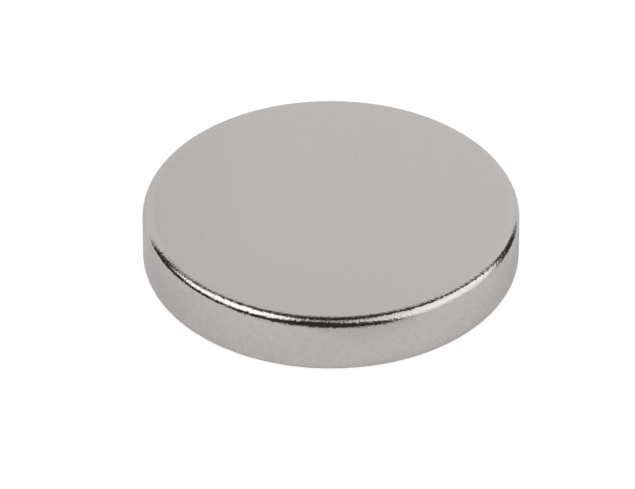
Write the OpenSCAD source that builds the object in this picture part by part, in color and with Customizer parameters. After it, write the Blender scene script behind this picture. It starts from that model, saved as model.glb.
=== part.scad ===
// Disc magnet.
// A short round disc of sintered neodymium-iron-boron, ground flat on both faces,
// tumbled until its edges are round, and then plated with nickel all over.
// The plating follows the surface and is only hundredths of a millimetre thick,
// so the magnet is one solid. It lies on its bottom face: the face is at Z = 0
// and the axis of the disc is the Z axis.

/* [Disc] */
// Diameter over the straight wall
disc_d = 30; // [8:0.5:60]
// Thickness from the bottom face to the top face
disc_t = 5; // [1:0.25:25]

/* [Edges] */
// Radius of the rounding between the wall and the top face
top_edge_r = 0.75; // [0.1:0.05:2.5]
// Radius of the rounding between the wall and the bottom face
bottom_edge_r = 0.75; // [0.1:0.05:2.5]

/* [Quality] */
// Segments in a full circle of the preview
$fn = 180; // [48:12:360]

/* [Hidden] */

disc_r = disc_d / 2;

// An edge takes at most two fifths of the thickness, so that a straight band
// of wall is left between the two, however thin the disc is.
widest_edge_r = 0.4 * disc_t;
top_r = min(top_edge_r, widest_edge_r);
bottom_r = min(bottom_edge_r, widest_edge_r);

// How far a cutter reaches past the surface that it cuts
over = 1;

NICKEL = "#b5b1ae";

// What a rounded edge of radius r takes off a square corner. The corner is at
// the origin and the section lies on its -X, -Y side.
module edge_waste(r) {
    difference() {
        translate([-r, -r]) square(r + over);
        translate([-r, -r]) circle(r);
    }
}

// Half of the disc's section: X runs out from the axis and Y runs up it
module half_section() {
    difference() {
        square([disc_r, disc_t]);
        translate([disc_r, disc_t]) edge_waste(top_r);
        translate([disc_r, 0]) mirror([0, 1]) edge_waste(bottom_r);
    }
}

// The whole magnet, turned about its axis
module disc_magnet() {
    color(NICKEL) rotate_extrude() half_section();
}

disc_magnet();
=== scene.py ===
# %% [markdown]
# # A nickel-plated disc magnet
# A bare disc magnet is pressed and sintered from neodymium alloy powder, ground flat on both
# faces, tumbled with ceramic stones until its edges are round, and plated with bright nickel. It is
# one plain piece, so the eye has only three things to go by: how the rounded edge turns from the
# face to the wall, the fine grain that tumbling left under the plate, and what stands round the
# magnet for its plate to mirror. Each of the three has its own part in this lesson.
# The solid model is loaded first, because every size further down is measured from it.

# %% Load the solid model and measure it
import math

import bpy
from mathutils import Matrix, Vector, noise


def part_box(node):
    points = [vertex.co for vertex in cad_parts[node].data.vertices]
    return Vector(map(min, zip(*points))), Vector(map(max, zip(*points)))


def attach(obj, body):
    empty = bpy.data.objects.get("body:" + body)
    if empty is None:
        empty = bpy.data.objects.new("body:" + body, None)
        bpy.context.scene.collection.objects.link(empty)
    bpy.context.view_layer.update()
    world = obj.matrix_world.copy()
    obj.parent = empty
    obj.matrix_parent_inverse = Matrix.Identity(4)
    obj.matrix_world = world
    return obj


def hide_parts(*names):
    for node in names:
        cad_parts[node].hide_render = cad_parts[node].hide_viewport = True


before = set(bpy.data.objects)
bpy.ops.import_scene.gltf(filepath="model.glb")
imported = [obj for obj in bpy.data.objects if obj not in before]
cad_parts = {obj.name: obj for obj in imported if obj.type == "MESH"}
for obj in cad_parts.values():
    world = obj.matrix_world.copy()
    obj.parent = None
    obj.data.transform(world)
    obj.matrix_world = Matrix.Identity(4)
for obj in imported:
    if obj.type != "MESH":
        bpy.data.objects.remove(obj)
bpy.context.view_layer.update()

MM = 0.001
low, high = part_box("disc_magnet")
disc_r = (high.x - low.x) / 2
disc_t = high.z - low.z
print(f"disc {2 * disc_r / MM:.1f} mm across and {disc_t / MM:.1f} mm thick")

# %% [markdown]
# The radius of the rounded edge isn't stored anywhere, but the flat part of the top face shows
# it: it ends where the rounding starts. So the edge is the disc's radius less that of the flat.

# %% Measure the rounded edge
HAIR = 0.001 * MM

top_points = [v.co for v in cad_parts["disc_magnet"].data.vertices if v.co.z > high.z - HAIR]
edge_r = disc_r - max(math.hypot(point.x, point.y) for point in top_points)
print(f"edges rounded to {edge_r / MM:.2f} mm")


# %% [markdown]
# ## The camera
# A small part is seen best from well back through a long lens, which keeps the near and the far
# edge almost the same size. A tracking constraint could aim the camera, but a fixed direction is
# easier to read: the camera stands back along one line, and `to_track_quat` turns its -Z axis, the
# way a camera looks, down that line. It aims a little below and left of the magnet's middle.

# %% Camera
CAMERA_LENS = 453.5
CAMERA_ELEVATION = math.radians(36.72)
CAMERA_DISTANCE = 638.4 * MM
CAMERA_AIM = Vector((-1.07, 0, 1.31)) * MM

back = Vector((0, -math.cos(CAMERA_ELEVATION), math.sin(CAMERA_ELEVATION)))
camera = bpy.data.objects.new("camera", bpy.data.cameras.new("camera"))
bpy.context.scene.collection.objects.link(camera)
bpy.context.scene.camera = camera
camera.data.lens = CAMERA_LENS
camera.location = CAMERA_AIM + CAMERA_DISTANCE * back
camera.rotation_mode = "QUATERNION"
camera.rotation_quaternion = (-back).to_track_quat("-Z", "Y")
print(f"camera {CAMERA_DISTANCE:.2f} m away, {math.degrees(CAMERA_ELEVATION):.1f} degrees up")


# %% [markdown]
# ## The section of the edge
# Tumbling wears an edge fastest where it stands proudest, so its section isn't quite a quarter
# circle: it leaves the face and the wall very gently and turns hardest half way. A bevel modifier
# could come near that, but a formula says it exactly. It is a superellipse: an exponent of 2 is a
# circle, and a little more gives the long shoulders. The worn edge then reaches further in than a
# circle would, by just as much as puts its middle on the solid model's rounding.

# %% Section of the worn edge
SHOULDER = 2.35
EDGE_STEPS = 20

edge_reach = edge_r * (1 - 0.5**0.5) / (1 - 0.5 ** (1 / SHOULDER))


def edge_curve():
    """Steps from the face to the wall, as shares of the reach: outwards first, then upwards."""
    for step in range(EDGE_STEPS + 1):
        turn = math.pi / 2 * step / EDGE_STEPS
        yield math.sin(turn) ** (2 / SHOULDER), math.cos(turn) ** (2 / SHOULDER)


print(f"the worn edge reaches {edge_reach / MM:.2f} mm in from the wall")

# %% [markdown]
# ## An edge that isn't perfect
# A lathe or a modifier would turn the same section all the way round, and the bright line along
# the edge would then be as clean as a drawn one. Stones hit each stretch of the edge a different
# number of times, so its reach varies by a few hundredths. `noise.noise` gives smooth numbers from
# -1 to 1, the same ones on each run, and going once round a circle in it closes without a seam.

# %% How much the edge's reach varies round the rim
WEAR = 0.03
LONG_WAVE = 3.0 * MM
SHORT_WAVE = 0.9 * MM
SHORT_WAVE_SHARE = 0.6


def worn_reach(angle, level):
    """The edge's reach at one angle; level tells the top edge from the bottom one."""
    spot = Vector((math.cos(angle), math.sin(angle), level)) * disc_r
    wear = noise.noise(spot / LONG_WAVE) + SHORT_WAVE_SHARE * noise.noise(spot / SHORT_WAVE)
    return edge_reach * (1 + WEAR * wear)


reaches = [worn_reach(math.radians(degree), 1) / MM for degree in range(360)]
print(f"reach of the top edge from {min(reaches):.2f} to {max(reaches):.2f} mm")

# %% [markdown]
# ## From the middle of one face to the middle of the other
# Blender's own cylinder has one ring of points for each edge and no more. This section runs from
# the middle of the top face out to the edge, down the wall and back to the middle underneath, and
# its points are close together only where it curves. The faces and the wall are straight lines in
# it, so a few rings are enough there.

# %% One section of the disc
FACE_STEPS = 6
WALL_STEPS = 8


def section(angle):
    """Radius and height of each point down one section, without the two middles."""
    top, bottom = worn_reach(angle, 1), worn_reach(angle, -1)
    wall = disc_t - top - bottom
    points = [((disc_r - top) * step / FACE_STEPS, high.z) for step in range(1, FACE_STEPS)]
    for out, up in edge_curve():
        points.append((disc_r - top * (1 - out), high.z - top * (1 - up)))
    for step in range(1, WALL_STEPS):
        points.append((disc_r, high.z - top - wall * step / WALL_STEPS))
    for up, out in edge_curve():
        points.append((disc_r - bottom * (1 - out), low.z + bottom * (1 - up)))
    for step in range(FACE_STEPS - 1, 0, -1):
        points.append(((disc_r - bottom) * step / FACE_STEPS, low.z))
    return points


print(f"{len(section(0))} rings of points from the top to the underside")

# %% [markdown]
# ## Turning the section
# Blender's spin tool would sweep one section round the axis. Here each step has a section of its
# own, so the mesh is written out: every section becomes a column of points, neighbouring columns
# are joined by quads, and a fan of triangles closes the middle of each face. Half a degree a step
# keeps the outline round and each facet of the edge smaller than its grain.

# %% Turn the sections into one closed mesh
TURN_STEPS = 720


def turned_disc():
    angles = [math.tau * step / TURN_STEPS for step in range(TURN_STEPS)]
    columns = [section(angle) for angle in angles]
    rings = len(columns[0])
    points = [(0, 0, high.z)]
    for ring in range(rings):
        for angle, column in zip(angles, columns):
            radius, height = column[ring]
            points.append((radius * math.cos(angle), radius * math.sin(angle), height))
    points.append((0, 0, low.z))
    faces = []
    for here in range(TURN_STEPS):
        after = (here + 1) % TURN_STEPS
        faces.append((0, 1 + here, 1 + after))
        for ring in range(rings - 1):
            upper, lower = 1 + ring * TURN_STEPS, 1 + (ring + 1) * TURN_STEPS
            faces.append((upper + here, lower + here, lower + after, upper + after))
        faces.append((lower + here, len(points) - 1, lower + after))
    mesh = bpy.data.meshes.new("magnet_body")
    mesh.from_pydata(points, [], faces)
    mesh.shade_smooth()
    return mesh


body_mesh = turned_disc()
print(f"mesh of {len(body_mesh.vertices)} points and {len(body_mesh.polygons)} faces")

# %% [markdown]
# ## One piece on one body
# The magnet has no moving parts, so it rides on the model's only body, called root. It stands for
# the plain solid, which stays hidden as the shape that other things touch.

# %% Put the magnet in its place
def stand(name, mesh):
    """Puts a mesh into the scene as an object of that name."""
    thing = bpy.data.objects.new(name, mesh)
    bpy.context.scene.collection.objects.link(thing)
    return thing


magnet = stand("magnet_body", body_mesh)
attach(magnet, "root")
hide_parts("disc_magnet")
print("magnet measures", [round(side / MM, 2) for side in magnet.dimensions], "mm")


# %% [markdown]
# ## Helpers for materials
# Colours are written as the hex values that a paint program shows, but Blender's shaders work on
# light, so one function turns them to linear values. Another adds a node: `links` fills its
# sockets, each with a number or with another node, and the other words set its properties.

# %% Colour and node helpers
def linear(colour):
    """An sRGB hex colour as linear red, green, blue and alpha."""
    shares = [int(colour[at : at + 2], 16) / 255 for at in (1, 3, 5)]
    return [s / 12.92 if s <= 0.04045 else ((s + 0.055) / 1.055) ** 2.4 for s in shares] + [1.0]


def add(tree, kind, links=None, **settings):
    """Adds a node. A node given for a socket is linked by its first output."""
    node = tree.nodes.new(kind)
    for name, value in settings.items():
        setattr(node, name, value)
    for socket, source in (links or {}).items():
        if isinstance(source, bpy.types.Node):
            source = source.outputs[0]
        if isinstance(source, bpy.types.NodeSocket):
            tree.links.new(source, node.inputs[socket])
        else:
            node.inputs[socket].default_value = source
    return node


def new_material(name):
    """An empty material and its node tree."""
    material = bpy.data.materials.new(name)
    material.use_nodes = True
    material.node_tree.nodes.clear()
    return material, material.node_tree


print("white as light:", linear("#FFFFFF")[:3], "and middle grey:", round(linear("#808080")[0], 3))


# %% [markdown]
# ## Bright nickel over a tumbled body
# Bright nickel comes from a plating bath that levels small scratches, so it mirrors sharply, but
# the plate is only about two hundredths of a millimetre thick and follows the tumbled body under
# it. So the edges are pitted like fine orange peel under a bright plate, and the faces are evenly
# satin. The pits could be an image wrapped round it, yet noise in the object's own coordinates has
# no seam and keeps its size.
# First the material has to know where the edges are: near the rim and, at once, near a face. Each
# is a Map Range node, and their product is 1 on the two edges and fades to 0 on the faces and the
# wall. A tighter copy of it, `rounded`, takes in no more than the rounding.

# %% Where the edges are
EDGE_STARTS = 2.0 * edge_r
EDGE_IS_FULL = 0.9 * edge_r
EDGE_TURNS = 0.85

nickel, tree = new_material("bright_nickel_plate_over_tumbled_body")
place = add(tree, "ShaderNodeTexCoord").outputs["Object"]
axes = add(tree, "ShaderNodeSeparateXYZ", {0: place})
side, height = axes.outputs["X"], axes.outputs["Z"]
flat_place = add(tree, "ShaderNodeCombineXYZ", {"X": side, "Y": axes.outputs["Y"]})
radius = add(tree, "ShaderNodeVectorMath", {0: flat_place}, operation="LENGTH").outputs["Value"]
level = add(tree, "ShaderNodeMath", {0: height, 1: disc_t / 2}, operation="SUBTRACT")
level = add(tree, "ShaderNodeMath", {0: level}, operation="ABSOLUTE")
near_rim = add(tree, "ShaderNodeMapRange", {
    "Value": radius,
    "From Min": disc_r - EDGE_STARTS,
    "From Max": disc_r - EDGE_IS_FULL,
}, interpolation_type="SMOOTHSTEP")
near_face = add(tree, "ShaderNodeMapRange", {
    "Value": level,
    "From Min": disc_t / 2 - EDGE_STARTS,
    "From Max": disc_t / 2 - EDGE_IS_FULL,
}, interpolation_type="SMOOTHSTEP")
edge = add(tree, "ShaderNodeMath", {0: near_rim, 1: near_face}, operation="MULTIPLY")
rounded = add(tree, "ShaderNodeMapRange", {
    "Value": edge,
    "From Min": EDGE_TURNS,
}, interpolation_type="SMOOTHSTEP")
print(f"edge grain from {EDGE_STARTS / MM:.2f} mm in, in full from {EDGE_IS_FULL / MM:.2f} mm")

# %% [markdown]
# The pits themselves are a noise with cells of about a fifth of a millimetre. They are stronger in
# some stretches than in others, and calmer at the left and right ends of the rim. The faces and the
# wall keep a trace of them, because a face that has been through the drum is never a perfect
# mirror. They could be real dents in a much finer mesh, but they are so shallow that a bump, which
# tilts the shading instead of the surface, looks the same.

# %% Pits left by tumbling
PIT = 0.21 * MM
PIT_DEPTH = 0.034 * MM
PIT_DETAIL = 1.0
PIT_ROUGHNESS = 0.6
PIT_SHARE_ON_FLATS = 0.06
PIT_SHARE_LEFT = 0.5
PIT_SHARE_RIGHT = 0.8
CALM_STARTS = 0.74 * disc_r
CALM_IS_FULL = 0.92 * disc_r
STRETCH = 1.1 * MM
STRETCH_DETAIL = 1.0
STRETCH_LOW, STRETCH_HIGH = 0.35, 0.68
WEAK_STRETCH = 0.7

stretches = add(tree, "ShaderNodeTexNoise", {
    "Vector": place,
    "Scale": 1 / STRETCH,
    "Detail": STRETCH_DETAIL,
})
uneven = add(tree, "ShaderNodeMapRange", {
    "Value": stretches,
    "From Min": STRETCH_LOW,
    "From Max": STRETCH_HIGH,
    "To Min": WEAK_STRETCH,
}, interpolation_type="SMOOTHSTEP")
calm_left = add(tree, "ShaderNodeMapRange", {
    "Value": side,
    "From Min": -CALM_IS_FULL,
    "From Max": -CALM_STARTS,
    "To Min": PIT_SHARE_LEFT,
}, interpolation_type="SMOOTHSTEP")
calm_right = add(tree, "ShaderNodeMapRange", {
    "Value": side,
    "From Min": CALM_STARTS,
    "From Max": CALM_IS_FULL,
    "To Min": 1.0,
    "To Max": PIT_SHARE_RIGHT,
}, interpolation_type="SMOOTHSTEP")
rubbed = add(tree, "ShaderNodeMath", {0: uneven, 1: calm_left}, operation="MULTIPLY")
rubbed = add(tree, "ShaderNodeMath", {0: rubbed, 1: calm_right}, operation="MULTIPLY")
rubbed = add(tree, "ShaderNodeMath", {0: rubbed, 1: edge}, operation="MULTIPLY")
pit_strength = add(tree, "ShaderNodeMapRange", {
    "Value": rubbed,
    "To Min": PIT_SHARE_ON_FLATS,
}, interpolation_type="SMOOTHSTEP")
pits = add(tree, "ShaderNodeTexNoise", {
    "Vector": place,
    "Scale": 1 / PIT,
    "Detail": PIT_DETAIL,
    "Roughness": PIT_ROUGHNESS,
})
bump = add(tree, "ShaderNodeBump", {
    "Height": pits,
    "Strength": pit_strength,
    "Distance": PIT_DEPTH,
})
print(f"pits {PIT / MM:.2f} mm apart and up to {PIT_DEPTH / MM:.3f} mm deep")

# %% [markdown]
# ## The plate's tone
# Nickel is a white metal with a touch of yellow. Its tone isn't one flat value: handling leaves
# soft clouds a few millimetres wide. Over them lie faint speckles, which are painted glints and
# painted relief shading: the grainy body under the plate catches the mirrored light unevenly. The
# body's real grains are some thousandths of a millimetre, too fine for this view, so the speckles
# are drawn about fifty times coarser, the size of the clumps that the eye picks out. They could be
# an even sprinkle, but here they are longer down the wall than round it, and they lean one way on
# the left and the other way on the right, as the painted shading follows the mirrored surroundings,
# which darken in a different direction round the rim. The lean comes from turning the noise about
# the axis, more and more from the foot of the wall upwards, so there is no seam where the wall ends
# and the face begins.

# %% Clouds and leaning speckles
CLOUD = 5.0 * MM
CLOUD_DETAIL = 2.0
SPECKLE = 0.28 * MM
SPECKLE_LENGTH = 0.46 * MM
SPECKLE_DETAIL = 3.0
SPECKLE_ROUGHNESS = 0.7
LEAN = 0.9
LEAN_IS_FULL = 0.4 * disc_r

clouds = add(tree, "ShaderNodeTexNoise", {
    "Vector": place,
    "Scale": 1 / CLOUD,
    "Detail": CLOUD_DETAIL,
})
lean = add(tree, "ShaderNodeMapRange", {
    "Value": side,
    "From Min": -disc_r,
    "From Max": LEAN_IS_FULL,
    "To Min": -LEAN / disc_r,
    "To Max": LEAN / disc_r,
})
turned = add(tree, "ShaderNodeMath", {0: height, 1: lean}, operation="MULTIPLY")
wound = add(tree, "ShaderNodeVectorRotate", {
    "Vector": place,
    "Angle": turned,
}, rotation_type="Z_AXIS")
stretched = (1, 1, SPECKLE / SPECKLE_LENGTH)
drawn = add(tree, "ShaderNodeVectorMath", {0: wound, 1: stretched}, operation="MULTIPLY")
# Painted glints and painted relief shading: the speckles tint the plate lighter and darker.
speckles = add(tree, "ShaderNodeTexNoise", {
    "Vector": drawn,
    "Scale": 1 / SPECKLE,
    "Detail": SPECKLE_DETAIL,
    "Roughness": SPECKLE_ROUGHNESS,
})
print(f"speckles {SPECKLE / MM:.2f} by {SPECKLE_LENGTH / MM:.2f} mm, clouds {CLOUD / MM:.0f} mm")

# %% [markdown]
# The speckles are stronger on the wall than on the flat faces. Round the wall they fade from the
# left to the right, and everywhere they are a little stronger in some clouds than in others. Clouds
# and speckles could tint the metal one after the other, but it is simpler to add them up to one
# number, which chooses between two close tones of it. Two painted shades go into that number too:
# the left side of the magnet is painted a shade darker, more so on the faces than on the wall, and
# the roundings are painted a shade darker all the way round.

# %% Add the clouds and the speckles up
NOISE_MIDDLE = 0.5
SPECKLES_ON_FACE = 1.0
SPECKLES_ON_LEFT_WALL = 4.1
SPECKLES_ON_RIGHT_WALL = 1.95
CLOUD_LOW, CLOUD_HIGH = 0.35, 0.65
SPECKLES_IN_LOW, SPECKLES_IN_HIGH = 0.8, 1.15
CLOUD_THIN, CLOUD_THICK = 0.2, 0.8
TONE_IN_THIN, TONE_IN_THICK = 0.42, 0.58
# Painted shade: the left side of the magnet is painted darker, more on the faces than on the wall.
LEFT_SHADE_IS_FULL, LEFT_SHADE_STARTS = -0.95 * disc_r, -0.3 * disc_r
LEFT_SHADE_ON_FACE, LEFT_SHADE_ON_WALL = -0.34, -0.14
# Painted shade on the roundings, all the way round.
ROUNDING_SHADE = -0.26
WALL_FADE = 0.5 * edge_r

at_wall = add(tree, "ShaderNodeMapRange", {
    "Value": radius,
    "From Min": disc_r - WALL_FADE,
    "From Max": disc_r,
}, interpolation_type="SMOOTHSTEP")
wall_speckles = add(tree, "ShaderNodeMapRange", {
    "Value": side,
    "From Min": -disc_r,
    "From Max": disc_r,
    "To Min": SPECKLES_ON_LEFT_WALL,
    "To Max": SPECKLES_ON_RIGHT_WALL,
})
by_place = add(tree, "ShaderNodeMapRange", {
    "Value": at_wall,
    "To Min": SPECKLES_ON_FACE,
    "To Max": wall_speckles,
})
patchy = add(tree, "ShaderNodeMapRange", {
    "Value": clouds,
    "From Min": CLOUD_LOW,
    "From Max": CLOUD_HIGH,
    "To Min": SPECKLES_IN_LOW,
    "To Max": SPECKLES_IN_HIGH,
}, interpolation_type="SMOOTHSTEP")
amount = add(tree, "ShaderNodeMath", {0: by_place, 1: patchy}, operation="MULTIPLY")
speckle = add(tree, "ShaderNodeMath", {0: speckles, 1: NOISE_MIDDLE}, operation="SUBTRACT")
speckle = add(tree, "ShaderNodeMath", {0: speckle, 1: amount}, operation="MULTIPLY")
cloud = add(tree, "ShaderNodeMapRange", {
    "Value": clouds,
    "From Min": CLOUD_THIN,
    "From Max": CLOUD_THICK,
    "To Min": TONE_IN_THIN,
    "To Max": TONE_IN_THICK,
}, interpolation_type="SMOOTHSTEP")
left_shade_depth = add(tree, "ShaderNodeMapRange", {
    "Value": at_wall,
    "To Min": LEFT_SHADE_ON_FACE,
    "To Max": LEFT_SHADE_ON_WALL,
})
# Painted shade on the left side of the magnet.
left_shade = add(tree, "ShaderNodeMapRange", {
    "Value": side,
    "From Min": LEFT_SHADE_IS_FULL,
    "From Max": LEFT_SHADE_STARTS,
    "To Min": left_shade_depth,
    "To Max": 0.0,
}, interpolation_type="SMOOTHSTEP")
# Painted shade on the roundings, all the way round.
rounding_shade = add(tree, "ShaderNodeMath", {0: rounded, 1: ROUNDING_SHADE}, operation="MULTIPLY")
tone = add(tree, "ShaderNodeMath", {0: cloud, 1: left_shade}, operation="ADD")
tone = add(tree, "ShaderNodeMath", {0: tone, 1: rounding_shade}, operation="ADD")
tone = add(tree, "ShaderNodeMath", {0: tone, 1: speckle}, operation="ADD")
shares = [wall / SPECKLES_ON_FACE for wall in (SPECKLES_ON_RIGHT_WALL, SPECKLES_ON_LEFT_WALL)]
print("speckles on the wall {:.1f} to {:.1f} times as strong as on a face".format(*shares))

# %% [markdown]
# A bare magnet is picked up by its rim, and the grease of a thumb dulls bright nickel to a faint
# warm haze. It could be painted on by hand, but the distance from one point on the front of the rim,
# broken up by a noise with blots of about half a millimetre, gives the same patchy mark. A thumb
# rolls along the rim, so the space is squeezed sideways first, which makes the mark longer that way.

# %% Haze where a thumb has been
THUMB = Vector((-3.5, -14.5, 5.0)) * MM
THUMB_SQUEEZE = Vector((0.65, 1, 1))
THUMB_FULL = 2.5 * MM
THUMB_ENDS = 10.0 * MM
THUMB_STRENGTH = 0.5
BLOT = 0.55 * MM
BLOT_DETAIL = 3.0
BLOT_LOW, BLOT_HIGH = 0.38, 0.62
FAINTEST_BLOT = 0.35

squeezed = add(tree, "ShaderNodeVectorMath", {0: place, 1: THUMB_SQUEEZE}, operation="MULTIPLY")
thumb_place = {0: squeezed, 1: THUMB * THUMB_SQUEEZE}
from_thumb = add(tree, "ShaderNodeVectorMath", thumb_place, operation="DISTANCE")
thumb = add(tree, "ShaderNodeMapRange", {
    "Value": from_thumb.outputs["Value"],
    "From Min": THUMB_FULL,
    "From Max": THUMB_ENDS,
    "To Min": THUMB_STRENGTH,
    "To Max": 0.0,
}, interpolation_type="SMOOTHSTEP")
blots = add(tree, "ShaderNodeTexNoise", {
    "Vector": place,
    "Scale": 1 / BLOT,
    "Detail": BLOT_DETAIL,
})
blots = add(tree, "ShaderNodeMapRange", {
    "Value": blots,
    "From Min": BLOT_LOW,
    "From Max": BLOT_HIGH,
    "To Min": FAINTEST_BLOT,
}, interpolation_type="SMOOTHSTEP")
haze = add(tree, "ShaderNodeMath", {0: thumb, 1: blots}, operation="MULTIPLY")
print(f"a thumb's haze, {2 * THUMB_ENDS / THUMB_SQUEEZE.x / MM:.0f} mm along the rim")

# %% [markdown]
# A fresh bright plate has a roughness of about 0.1. The tumbled edges stay close to that, the wall
# is duller, and the ground faces are the dullest, satin and not mirrors. It could have one roughness
# all over, but then the mirrored lines on the edge would blur or the faces would shine like glass.
# A metal brightens at glancing angles, and the shader's specular tint is the colour that it has
# there.

# %% Nickel plate
NICKEL_LIGHT = "#D5D1CF"
NICKEL_DARK = "#C7C3C1"
NICKEL_HAZED = "#CAC6BF"
NICKEL_GLANCING = "#EFF0F1"
EDGE_ROUGHNESS = 0.12
WALL_ROUGHNESS = 0.20
FACE_ROUGHNESS = 0.32
LEAST_CLOUDED, MOST_CLOUDED = 0.96, 1.04

flat_roughness = add(tree, "ShaderNodeMapRange", {
    "Value": at_wall,
    "To Min": FACE_ROUGHNESS,
    "To Max": WALL_ROUGHNESS,
})
clouding = add(tree, "ShaderNodeMapRange", {
    "Value": clouds,
    "From Min": CLOUD_LOW,
    "From Max": CLOUD_HIGH,
    "To Min": LEAST_CLOUDED,
    "To Max": MOST_CLOUDED,
}, interpolation_type="SMOOTHSTEP")
flat_roughness = add(tree, "ShaderNodeMath", {0: flat_roughness, 1: clouding}, operation="MULTIPLY")
roughness = add(tree, "ShaderNodeMapRange", {
    "Value": rounded,
    "To Min": flat_roughness,
    "To Max": EDGE_ROUGHNESS,
})
# Sockets 6 and 7 of a Mix node are its two colours, and output 2 is the mixed one.
tones = {"Factor": tone, 6: linear(NICKEL_DARK), 7: linear(NICKEL_LIGHT)}
clean = add(tree, "ShaderNodeMix", tones, data_type="RGBA").outputs[2]
tones = {"Factor": haze, 6: clean, 7: linear(NICKEL_HAZED)}
colour = add(tree, "ShaderNodeMix", tones, data_type="RGBA").outputs[2]
shader = add(tree, "ShaderNodeBsdfPrincipled", {
    "Base Color": colour,
    "Metallic": 1.0,
    "Roughness": roughness,
    "Specular Tint": linear(NICKEL_GLANCING),
    "Normal": bump,
})
add(tree, "ShaderNodeOutputMaterial", {"Surface": shader})
magnet.data.materials.append(nickel)
print(f"{nickel.name}: {len(tree.nodes)} nodes")


# %% [markdown]
# ## A light tent
# Polished metal shows its surroundings more than itself, so the studio is half of its look. The
# usual answer is a light tent: pale cloth on the left, the right and behind, lamps outside it, and
# an open front and top. The face mirrors the cloth behind, the edge shows the bright cloth to the
# left and right as two long highlights, and the dark lines beside them are the dark room seen
# through the gaps. A picture of a studio wrapped round the world would do too, but a few panels of
# cloth are easier to move until each line on the edge falls right.
# A place on the tent is given as an azimuth and an elevation seen from the magnet, in degrees:
# azimuth 0 is to the right, -90 is towards the camera, and 90 is behind.

# %% Directions seen from the magnet
def toward(azimuth, elevation):
    turn, rise = math.radians(azimuth), math.radians(elevation)
    return Vector((math.cos(turn) * math.cos(rise), math.sin(turn) * math.cos(rise), math.sin(rise)))


print("towards the camera:", [round(c, 2) for c in toward(-90, math.degrees(CAMERA_ELEVATION))])

# %% [markdown]
# A panel of cloth is a fan of triangles on a dome round the magnet, because every point of it is
# then at one distance and its place is only a direction. A flat card would have done for a square
# panel, but not for one that bends round a corner of the tent. An attribute is 1 inside the panel
# and falls to 0 across its hem, so that the panel has a soft edge.

# %% The mesh of a panel
HEM = math.radians(3.0)
STEPS_A_SIDE = 12


def outline_points(corners):
    """Directions along the outline, with even steps from each corner to the next."""
    for start, end in zip(corners, corners[1:] + corners[:1]):
        for step in range(STEPS_A_SIDE):
            share = step / STEPS_A_SIDE
            azimuth = start[0] + (end[0] - start[0]) * share
            elevation = start[1] + (end[1] - start[1]) * share
            yield toward(azimuth, elevation)


def panel_mesh(name, corners, distance):
    outline = list(outline_points(corners))
    centre = sum(outline, Vector()).normalized()
    inner = [(point + (centre - point).normalized() * HEM).normalized() for point in outline]
    outer = [(point - (centre - point).normalized() * HEM).normalized() for point in outline]
    count = len(outline)
    faces = []
    for here in range(count):
        after = (here + 1) % count
        faces.append((0, 1 + here, 1 + after))
        faces.append((1 + here, 1 + count + here, 1 + count + after, 1 + after))
    mesh = bpy.data.meshes.new(name)
    mesh.from_pydata([point * distance for point in [centre] + inner + outer], [], faces)
    cover = mesh.attributes.new("cover", "FLOAT", "POINT")
    cover.data.foreach_set("value", [1.0] * (1 + count) + [0.0] * count)
    return mesh


print(f"hems of {math.degrees(2 * HEM):.0f} degrees, {STEPS_A_SIDE} steps from corner to corner")

# %% [markdown]
# Tent cloth is thin woven nylon with its lamps outside, so it glows evenly and has no highlight of
# its own. An area lamp could stand in for each panel, but only as a rectangle or an ellipse, and
# its edge would be hard. Here the cloth is an emission mixed with clear by the attribute.
# `fades` dims a panel along a direction, as happens where its lamp stands nearer to one end: each
# says which way, where it starts and ends along that way, and what share of the glow is left.
# The camera doesn't see the panels, and they cast no shadow.

# %% A panel of glowing cloth
def cloth(name, corners, distance, colour, strength=1.0, fades=()):
    panel = stand(name, panel_mesh(name, corners, distance))
    panel.visible_camera = False
    panel.visible_shadow = False
    material, tree = new_material(f"woven_nylon_of_{name}")
    glow = strength
    for way, start, end, share in fades:
        place = add(tree, "ShaderNodeTexCoord").outputs["Object"]
        place = add(tree, "ShaderNodeVectorMath", {0: place}, operation="NORMALIZE")
        ways = {0: place, 1: Vector(way).normalized()}
        along = add(tree, "ShaderNodeVectorMath", ways, operation="DOT_PRODUCT")
        left = add(tree, "ShaderNodeMapRange", {
            "Value": along.outputs["Value"],
            "From Min": start,
            "From Max": end,
            "To Min": 1.0,
            "To Max": share,
        }, interpolation_type="SMOOTHSTEP")
        glow = add(tree, "ShaderNodeMath", {0: left, 1: glow}, operation="MULTIPLY")
    lit = add(tree, "ShaderNodeEmission", {"Color": linear(colour), "Strength": glow})
    clear = add(tree, "ShaderNodeBsdfTransparent")
    cover = add(tree, "ShaderNodeAttribute", attribute_name="cover").outputs["Fac"]
    mix = add(tree, "ShaderNodeMixShader", {0: cover, 1: clear, 2: lit})
    add(tree, "ShaderNodeOutputMaterial", {"Surface": mix})
    panel.data.materials.append(material)
    print(f"{name}: {len(corners)} corners, {distance:.2f} m away, glow {strength:.2f}")


# %% [markdown]
# The two side panels have a lamp close behind them, so they are brighter than white paper and
# draw the two highlights. The left one hangs free of the table. The right one reaches down past
# the table's edge, and its lamp stands high up and far to the right, so the cloth dims towards its
# foot and towards the front. The two could meet over the front, but then one unbroken highlight
# would run round the edge. A small dim panel hangs there instead, and without it the middle of the
# edge would be black.

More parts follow.
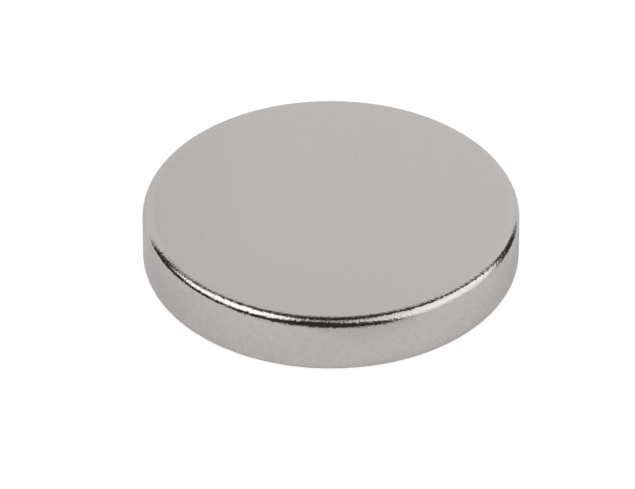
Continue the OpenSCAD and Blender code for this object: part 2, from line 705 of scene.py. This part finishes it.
# %% Side panels and the small one over the front
SIDE_DISTANCE = 0.42
LEFT_CLOTH, RIGHT_CLOTH, TOP_CLOTH = "#FCFEFE", "#FCFDFC", "#FCFDFC"
LEFT_GLOW, RIGHT_GLOW, TOP_GLOW = 1.70, 1.44, 0.52
LEFT_CORNERS = [
    (-192, 25), (-165, 28), (-137, 26), (-125, 32), (-116, 52),
    (-112, 62), (-130, 72), (-175, 73), (-208, 61), (-202, 46),
]
RIGHT_CORNERS = [
    (-62, 18), (-52, 2), (-46, -25), (14, -25), (16, 0), (18, 25),
    (10, 48), (-12, 66), (-50, 71), (-80, 60), (-87, 46), (-74, 32),
]
TOP_CORNERS = [(-104, 52), (-86, 52), (-86, 68), (-104, 68)]
DOWNWARD_FADE = ((0, 0, 1), 0.26, -0.34, 0.6)
FORWARD_FADE = ((1, 0, 0), 0.85, 0.1, 0.55)
RIGHT_FADES = [DOWNWARD_FADE, FORWARD_FADE]

cloth("tent_left", LEFT_CORNERS, SIDE_DISTANCE, LEFT_CLOTH, LEFT_GLOW)
cloth("tent_right", RIGHT_CORNERS, SIDE_DISTANCE, RIGHT_CLOTH, RIGHT_GLOW, RIGHT_FADES)
cloth("tent_top", TOP_CORNERS, SIDE_DISTANCE, TOP_CLOTH, TOP_GLOW)

# %% [markdown]
# The cloth behind is nearly as bright as white paper, and from the camera the flat face mirrors
# little else. It could be one even sheet, but it darkens towards the top, where the lamps don't
# reach it, and that gives the face its soft dark border.

# %% Back panel
BACK_DISTANCE = 0.50
BACK_CLOTH = "#EDEDED"
BACK_CORNERS = [
    (44, -20), (43, 10), (40, 25), (29, 37), (34, 47), (41, 59), (58, 72),
    (90, 80), (112, 76), (134, 54), (143, 30), (147, 12), (149, -20),
]
UPWARD_FADE = ((-0.2, 0, 1), 0.70, 0.97, 0.05)

cloth("tent_back", BACK_CORNERS, BACK_DISTANCE, BACK_CLOTH, fades=[UPWARD_FADE])

# %% [markdown]
# ## The lamp over the front
# A soft box stands over the front and a little to the left. It lights the tile, which the wall
# mirrors, and the magnet's own shadow falls behind it. It could be one more panel of cloth, but as
# an area lamp its size and its power are plain numbers. It is hidden from mirror rays, because the
# plate would show it as one more line.

# %% Lamp over the front
LAMP_AZIMUTH = -100
LAMP_ELEVATION = 48
LAMP_DISTANCE = 0.45
LAMP_SIZE = 0.3
LAMP_POWER = 0.79

lamp_way = toward(LAMP_AZIMUTH, LAMP_ELEVATION)
front_lamp = bpy.data.objects.new("front_lamp", bpy.data.lights.new("front_lamp", "AREA"))
bpy.context.scene.collection.objects.link(front_lamp)
front_lamp.data.size = LAMP_SIZE
front_lamp.data.energy = LAMP_POWER
front_lamp.location = lamp_way * LAMP_DISTANCE
front_lamp.rotation_mode = "QUATERNION"
front_lamp.rotation_quaternion = lamp_way.to_track_quat("Z", "Y")
front_lamp.visible_camera = False
front_lamp.visible_glossy = False
print(f"front lamp of {LAMP_POWER} W, {LAMP_SIZE} m square")

# %% [markdown]
# ## The white tile
# The magnet stands on a glazed tile, which is smooth, white and without grain, and the wall
# mirrors little else. The tile isn't quite in line with the camera, and it ends less than two
# centimetres in front of the magnet. What the foot of the edge mirrors lies past it, in the dark
# room, and that is the lower dark line along the edge. The tile's front edge gets a painted shade:
# over its last centimetre and a half a ramp from clear to white lets the dark room show through,
# and stands for an edge that curves down and away. A big white sheet would be simpler, but it
# would leave the edge without that line.

# %% Tile that the magnet stands on
TILE_TURN = math.radians(20)
TILE_NEAR, TILE_FAR = -32 * MM, 250 * MM
TILE_LEFT, TILE_RIGHT = -200 * MM, 24.5 * MM
TILE_EDGE_SHADE = 15 * MM
TILE_WHITE = "#E7E5E5"
TILE_GLOW = 0.09

tile_corners = [(x, y, 0) for x in (TILE_LEFT, TILE_RIGHT) for y in (TILE_NEAR, TILE_FAR)]
tile_mesh = bpy.data.meshes.new("tile")
tile_mesh.from_pydata(tile_corners, [], [(0, 2, 3, 1)])
tile = stand("tile", tile_mesh)
tile.rotation_euler.z = TILE_TURN
tile.visible_camera = False
tile.visible_shadow = False

glazed, tree = new_material("glazed_white_tile")
white = add(tree, "ShaderNodeBsdfDiffuse", {"Color": linear(TILE_WHITE)})
glow = add(tree, "ShaderNodeEmission", {"Color": linear(TILE_WHITE), "Strength": TILE_GLOW})
lit = add(tree, "ShaderNodeAddShader", {0: white, 1: glow})
clear = add(tree, "ShaderNodeBsdfTransparent")
place = add(tree, "ShaderNodeTexCoord").outputs["Object"]
across = add(tree, "ShaderNodeSeparateXYZ", {0: place}).outputs["Y"]
# Painted shade: towards its front edge the tile fades to clear, and the dark room shows through.
cover = add(tree, "ShaderNodeMapRange", {
    "Value": across,
    "From Min": TILE_NEAR,
    "From Max": TILE_NEAR + TILE_EDGE_SHADE,
}, interpolation_type="SMOOTHSTEP")
mix = add(tree, "ShaderNodeMixShader", {0: cover, 1: clear, 2: lit})
add(tree, "ShaderNodeOutputMaterial", {"Surface": mix})
tile_mesh.materials.append(glazed)
print(f"tile from {-TILE_NEAR / MM:.0f} mm before the magnet's middle to {TILE_FAR / MM:.0f} mm behind")

# %% [markdown]
# ## What the camera sees under the magnet
# The background is plain white, so the camera looks at a sheet of white paper just under the tile.
# Paper is matt, so a diffuse shader is enough for it. A white sheet lit by lamps alone would come
# out grey here, so it also glows almost white. Its diffuse part adds the rest, except where the
# magnet keeps the light away, so the soft contact shadow stays. Only camera rays see it, because a
# white floor without an end would fill the dark lines that make metal look like metal.

# %% Floor for the camera
FLOOR_SIZE = 0.5
FLOOR_DROP = 0.01 * MM
FLOOR_GLOW = 0.88
PAPER = "#959595"
WHITE = "#FFFFFF"

floor_corners = [(x, y, 0) for x in (-FLOOR_SIZE, FLOOR_SIZE) for y in (-FLOOR_SIZE, FLOOR_SIZE)]
floor_mesh = bpy.data.meshes.new("floor")
floor_mesh.from_pydata(floor_corners, [], [(0, 2, 3, 1)])
floor = stand("floor", floor_mesh)
floor.location.z = -FLOOR_DROP
floor.visible_glossy = False
floor.visible_diffuse = False
floor.visible_transmission = False
floor.visible_shadow = False

paper, tree = new_material("matt_white_paper")
matt = add(tree, "ShaderNodeBsdfDiffuse", {"Color": linear(PAPER)})
glow = add(tree, "ShaderNodeEmission", {"Color": linear(WHITE), "Strength": FLOOR_GLOW})
both = add(tree, "ShaderNodeAddShader", {0: matt, 1: glow})
add(tree, "ShaderNodeOutputMaterial", {"Surface": both})
floor_mesh.materials.append(paper)
print(f"floor of {2 * FLOOR_SIZE:.0f} m for the camera")

# %% [markdown]
# ## The dark room round the tent
# Beyond the cloth is a dim studio with dark warm walls, and the plate mirrors it through each gap
# of the tent. It could be a box of four walls, but a ball round the whole set looks the same from
# the middle. The camera looks through it. Without it, the white background would show in the gaps.

# %% Dark room
ROOM_RADIUS = 0.6
ROOM_WALLS = "#3A3633"
ROOM_RINGS = 24

bpy.ops.mesh.primitive_uv_sphere_add(
    segments=2 * ROOM_RINGS,
    ring_count=ROOM_RINGS,
    radius=ROOM_RADIUS,
)
room = bpy.context.object
room.name = "dark_room"
room.visible_camera = False
room.visible_shadow = False

walls, tree = new_material("dark_painted_studio_walls")
dim = add(tree, "ShaderNodeEmission", {"Color": linear(ROOM_WALLS), "Strength": 1.0})
add(tree, "ShaderNodeOutputMaterial", {"Surface": dim})
room.data.materials.append(walls)
print(f"dark room {2 * ROOM_RADIUS:.1f} m across")

# %% [markdown]
# ## White beyond everything
# Past the floor's edge the camera sees the world, so that is white too. The same white is there for
# mirror rays and for rays through glass, and the light that reaches the magnet by other ways stays
# as dim as the room.

# %% World
world = bpy.data.worlds.new("studio")
bpy.context.scene.world = world
world.use_nodes = True
tree = world.node_tree
tree.nodes.clear()
rays = add(tree, "ShaderNodeLightPath").outputs
either = {0: rays["Is Camera Ray"], 1: rays["Is Glossy Ray"]}
seen = add(tree, "ShaderNodeMath", either, operation="MAXIMUM")
seen = add(tree, "ShaderNodeMath", {0: seen, 1: rays["Is Transmission Ray"]}, operation="MAXIMUM")
dim = add(tree, "ShaderNodeBackground", {"Color": linear(ROOM_WALLS), "Strength": 1.0})
white = add(tree, "ShaderNodeBackground", {"Color": linear(WHITE), "Strength": 1.0})
mix = add(tree, "ShaderNodeMixShader", {0: seen, 1: dim, 2: white})
add(tree, "ShaderNodeOutputWorld", {"Surface": mix})
print("world white where it is seen, and", ROOM_WALLS, "as light")

# %% [markdown]
# ## Finish
# The Standard view shows a colour as it is written, where the default view would soften the
# highlights.

# %% Finish
bpy.context.scene.view_settings.view_transform = "Standard"
